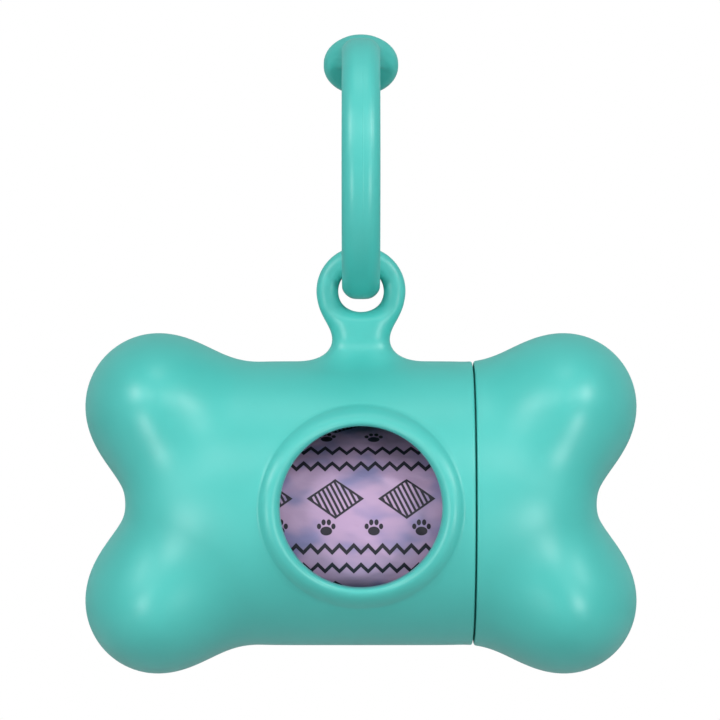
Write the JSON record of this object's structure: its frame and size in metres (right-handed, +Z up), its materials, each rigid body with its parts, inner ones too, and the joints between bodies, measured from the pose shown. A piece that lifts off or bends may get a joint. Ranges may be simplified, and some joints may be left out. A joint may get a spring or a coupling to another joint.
{
  "type": "dog waste bag dispenser",
  "caption": "Bone-shaped soft case for a roll of dog waste bags, with a round bag window, a pull-off end cap and a rubber strap loop to hang it from a leash.",
  "frame": {"origin": "inside top of the strap's loop, where a leash or ring bears on it", "axes": "+X along the bone towards the end cap, -Y out of the bag window, +Z up along the hanging strap"},
  "size_m": [0.0898, 0.0477, 0.1037],
  "materials": {
    "soft_case": "satin moulded silicone",
    "soft_strap": "satin moulded silicone",
    "card": "plain wound card",
    "bag_film": "thin glossy film with a dark printed pattern"
  },
  "bodies": {
    "strap": {"carry_strap": "soft_strap"},
    "shell": {"main_shell": "soft_case"},
    "cap": {"end_cap": "soft_case"},
    "roll": {"roll_core": "card", "bag_roll": "bag_film"}
  },
  "joints": [
    {"name": "shell_swing", "type": "hinge", "parent": "strap", "child": "shell", "pos_m": [0, 0, -0.03692], "axis": [0, 1, 0], "range_deg": [-90, 90]},
    {"name": "cap_pull", "type": "slide", "parent": "shell", "child": "cap", "axis": [1, 0, 0], "range_m": [0, 0.03]},
    {"name": "roll_spin", "type": "hinge", "parent": "shell", "child": "roll", "pos_m": [0, 0, -0.0748], "axis": [1, 0, 0], "continuous": true}
  ]
}
